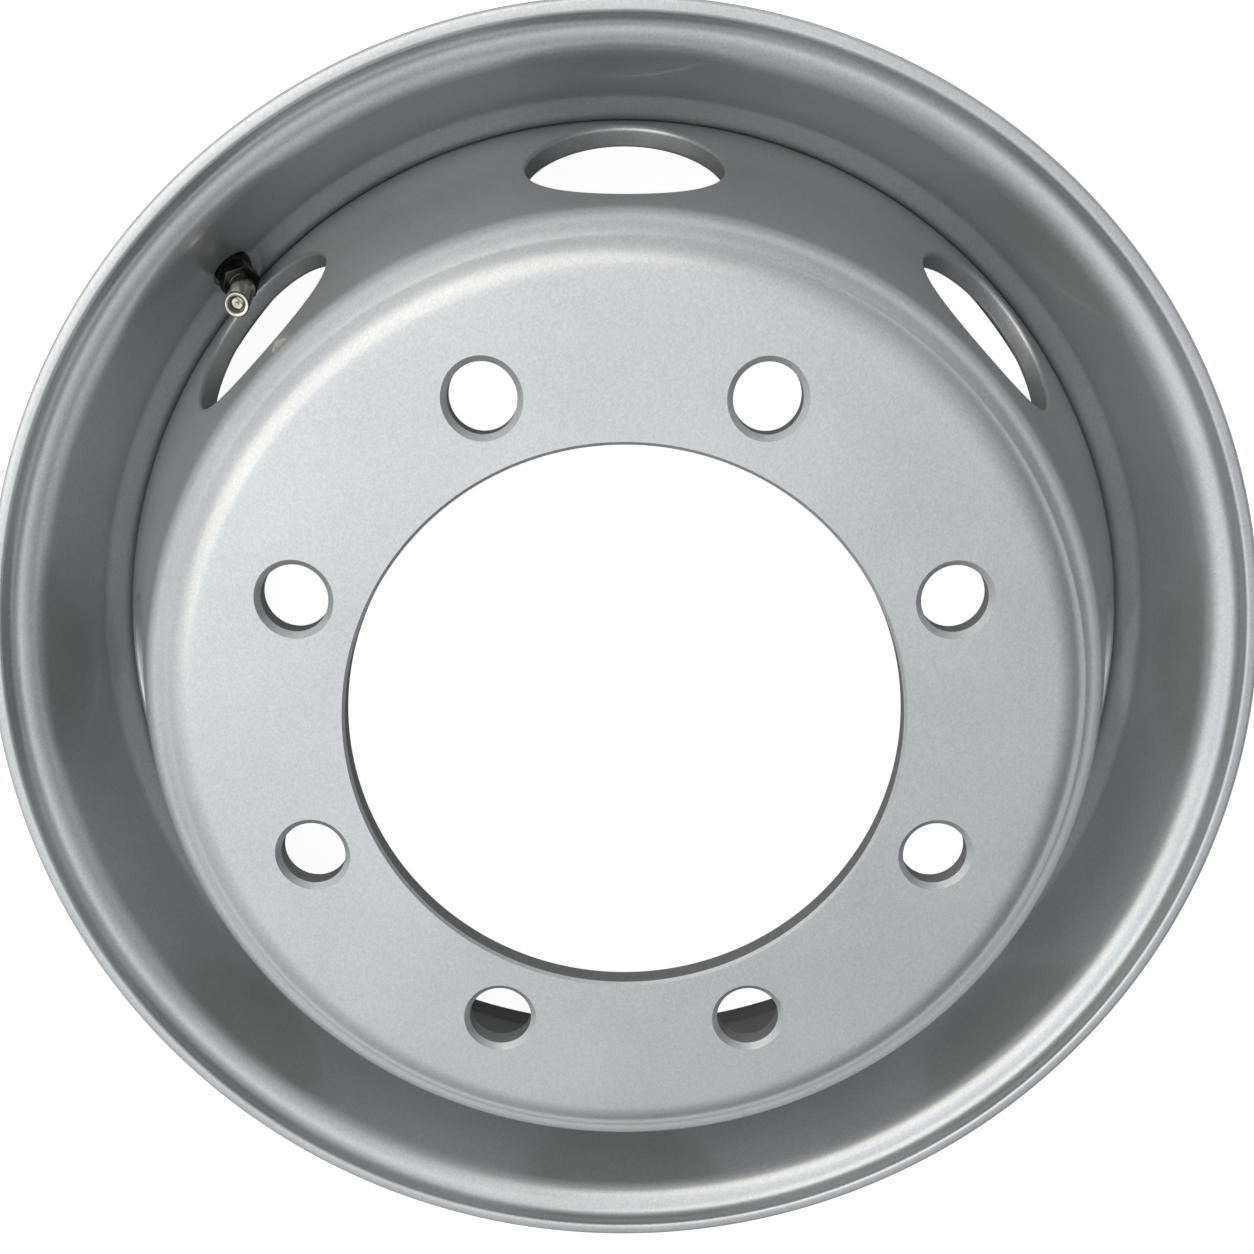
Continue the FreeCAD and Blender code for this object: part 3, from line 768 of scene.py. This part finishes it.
path = node(tree, "ShaderNodeLightPath").outputs
either = node(tree, "ShaderNodeMath", {"operation": "MAXIMUM"},
              links={0: path["Is Transmission Ray"], 1: path["Is Glossy Ray"]})
height = node(tree, "ShaderNodeSeparateXYZ", links={0: way})
below = node(tree, "ShaderNodeMath", {"operation": "LESS_THAN"}, {1: BACKDROP_TOP},
             {0: height.outputs["Z"]})
backdrop = node(tree, "ShaderNodeMath", {"operation": "MULTIPLY"},
                links={0: either.outputs[0], 1: below.outputs[0]})
shown = node(tree, "ShaderNodeMath", {"operation": "MAXIMUM"},
             links={0: path["Is Camera Ray"], 1: backdrop.outputs[0]})
mix = node(tree, "ShaderNodeMixShader",
           links={0: shown.outputs[0], 1: room.outputs[0], 2: white.outputs[0]})
node(tree, "ShaderNodeOutputWorld", links={"Surface": mix.outputs[0]})


def lamp(name, watts, size, place, aim, colour):
    data = bpy.data.lights.new(name, "AREA")
    data.energy = watts
    data.shape = "RECTANGLE"
    data.size, data.size_y = size
    data.color = linear(colour)[:3]
    made = bpy.data.objects.new(name, data)
    made.location = place
    made.rotation_euler = (Vector(aim) - Vector(place)).to_track_quat("-Z", "Y").to_euler()
    bpy.context.scene.collection.objects.link(made)


lamp("key_softbox", 17, (2.8, 1.5), (-0.95, 0.87, 1.95), (0, 0, 0.15), "#FFF4E4")
lamp("face_softbox", 5, (1.6, 1.6), (-0.5, -0.3, 2.4), (0, 0, 0.2), "#F6FAFF")

# Camera: looks down on the outer face from a little towards the far side, as the photograph
# looks at the upright wheel from above its axis.
FOCAL_PX = 1806.66
PICTURE_PX = 1254
CENTRE_PX = (623.59, 944.13)
CAMERA_TURN = (24.56, 0.20, -0.01)
CAMERA_AT = (-2.9, 220.5, 685.0)
data = bpy.data.cameras.new("camera")
data.sensor_width = 36
data.lens = FOCAL_PX / PICTURE_PX * data.sensor_width
data.shift_x = (PICTURE_PX / 2 - CENTRE_PX[0]) / PICTURE_PX
data.shift_y = (CENTRE_PX[1] - PICTURE_PX / 2) / PICTURE_PX
camera = bpy.data.objects.new("camera", data)
rx, ry, rz = [math.radians(a) for a in CAMERA_TURN]
turn = Matrix.Rotation(rz, 3, "Z") @ Matrix.Rotation(ry, 3, "Y") @ Matrix.Rotation(rx, 3, "X")
camera.matrix_world = (Matrix.Translation((CAMERA_AT[0] / 1000, CAMERA_AT[1] / 1000,
                                           (FLAT_HEIGHT + CAMERA_AT[2]) / 1000))
                       @ turn.transposed().to_4x4())
bpy.context.scene.collection.objects.link(camera)
bpy.context.scene.camera = camera
bpy.context.scene.view_settings.view_transform = "Standard"
